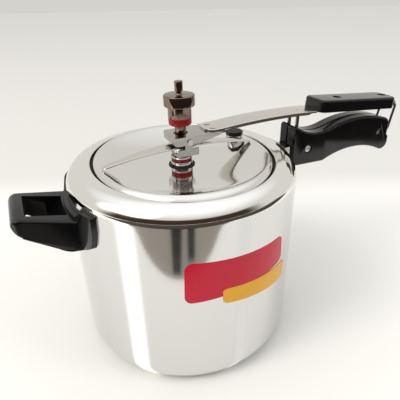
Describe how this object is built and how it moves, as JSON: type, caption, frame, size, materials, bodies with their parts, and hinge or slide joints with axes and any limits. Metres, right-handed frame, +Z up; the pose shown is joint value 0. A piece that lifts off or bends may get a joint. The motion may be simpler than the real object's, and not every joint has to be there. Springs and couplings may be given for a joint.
{
  "type": "stovetop pressure cooker",
  "caption": "Stovetop pressure cooker with an inner oval lid drawn up by a sprung lever, a lift-off vent weight, a long handle and a helper handle.",
  "frame": {"origin": "centre of the flat underside of the pot", "axes": "+Z up, +X along the long handle, Y across the handles"},
  "size_m": [0.4142, 0.2103, 0.2505],
  "materials": {
    "satin_aluminium": "spun, satin wall with a mirror-polished shoulder",
    "polished_aluminium": "mirror polished",
    "printed_film": "plain red and yellow film, gloss",
    "black_phenolic": "compression-moulded, glossy",
    "stainless_steel": "pressed and lightly brushed",
    "bright_steel": "bright zinc or nickel plate",
    "chrome_plate": "polished chrome on turned brass",
    "black_rubber": "nitrile rubber, matt",
    "red_silicone": "red silicone, semi-gloss",
    "turned_brass": "turned, lightly tarnished"
  },
  "bodies": {
    "pot": {"pot_body": "satin_aluminium", "side_sticker": "printed_film", "helper_handle": "black_phenolic", "helper_lug": "stainless_steel", "helper_rivets": "satin_aluminium", "helper_screw": "bright_steel", "body_handle_near_shell": "black_phenolic", "body_handle_far_shell": "black_phenolic", "handle_bracket": "stainless_steel", "bracket_rivets": "satin_aluminium", "handle_skirt": "black_phenolic", "body_handle_screws": "bright_steel", "body_handle_nuts": "bright_steel", "fulcrum_pin": "bright_steel"},
    "lever": {"lever_strip": "stainless_steel", "lever_yoke": "stainless_steel", "yoke_rivets": "stainless_steel", "fulcrum_bracket": "bright_steel", "fulcrum_rivets": "bright_steel", "lever_grip": "black_phenolic", "lever_grip_screws": "bright_steel"},
    "loop": {"locking_loop": "bright_steel"},
    "lid": {"lid_plate": "polished_aluminium", "lid_gasket": "black_rubber", "lid_strap": "stainless_steel", "strap_spacer": "bright_steel", "vent_tube": "chrome_plate", "vent_washer": "black_rubber", "vent_base_ring": "bright_steel", "red_seal_ring": "red_silicone", "vent_rim_ring": "bright_steel", "vent_top_nut": "chrome_plate", "under_lid_nut": "turned_brass", "vent_bracket": "stainless_steel", "lever_pivot_rivets": "bright_steel", "safety_plug": "black_rubber", "safety_plug_seat": "bright_steel", "safety_plug_nut": "turned_brass"},
    "weight": {"weight_body": "chrome_plate", "weight_band": "red_silicone", "weight_knob": "chrome_plate"}
  },
  "joints": [
    {"name": "lever_tilt", "type": "hinge", "parent": "pot", "child": "lever", "pos_m": [0.1247, 0, 0.187], "axis": [0, -1, 0], "range_deg": [0, 8]},
    {"name": "lid_level", "type": "hinge", "parent": "lever", "child": "lid", "pos_m": [0.003, 0, 0.1995], "axis": [0, -1, 0], "range_deg": [-8, 0]},
    {"name": "loop_swing", "type": "hinge", "parent": "lever", "child": "loop", "pos_m": [0.2586, 0, 0.199], "axis": [0, -1, 0], "range_deg": [0, 100]},
    {"name": "weight_lift", "type": "slide", "parent": "lid", "child": "weight", "axis": [0, 0, 1], "range_m": [0, 0.012]}
  ],
  "couplings": [
    {"joint": "lid_level", "follows": "lever_tilt", "ratio": -1}
  ]
}
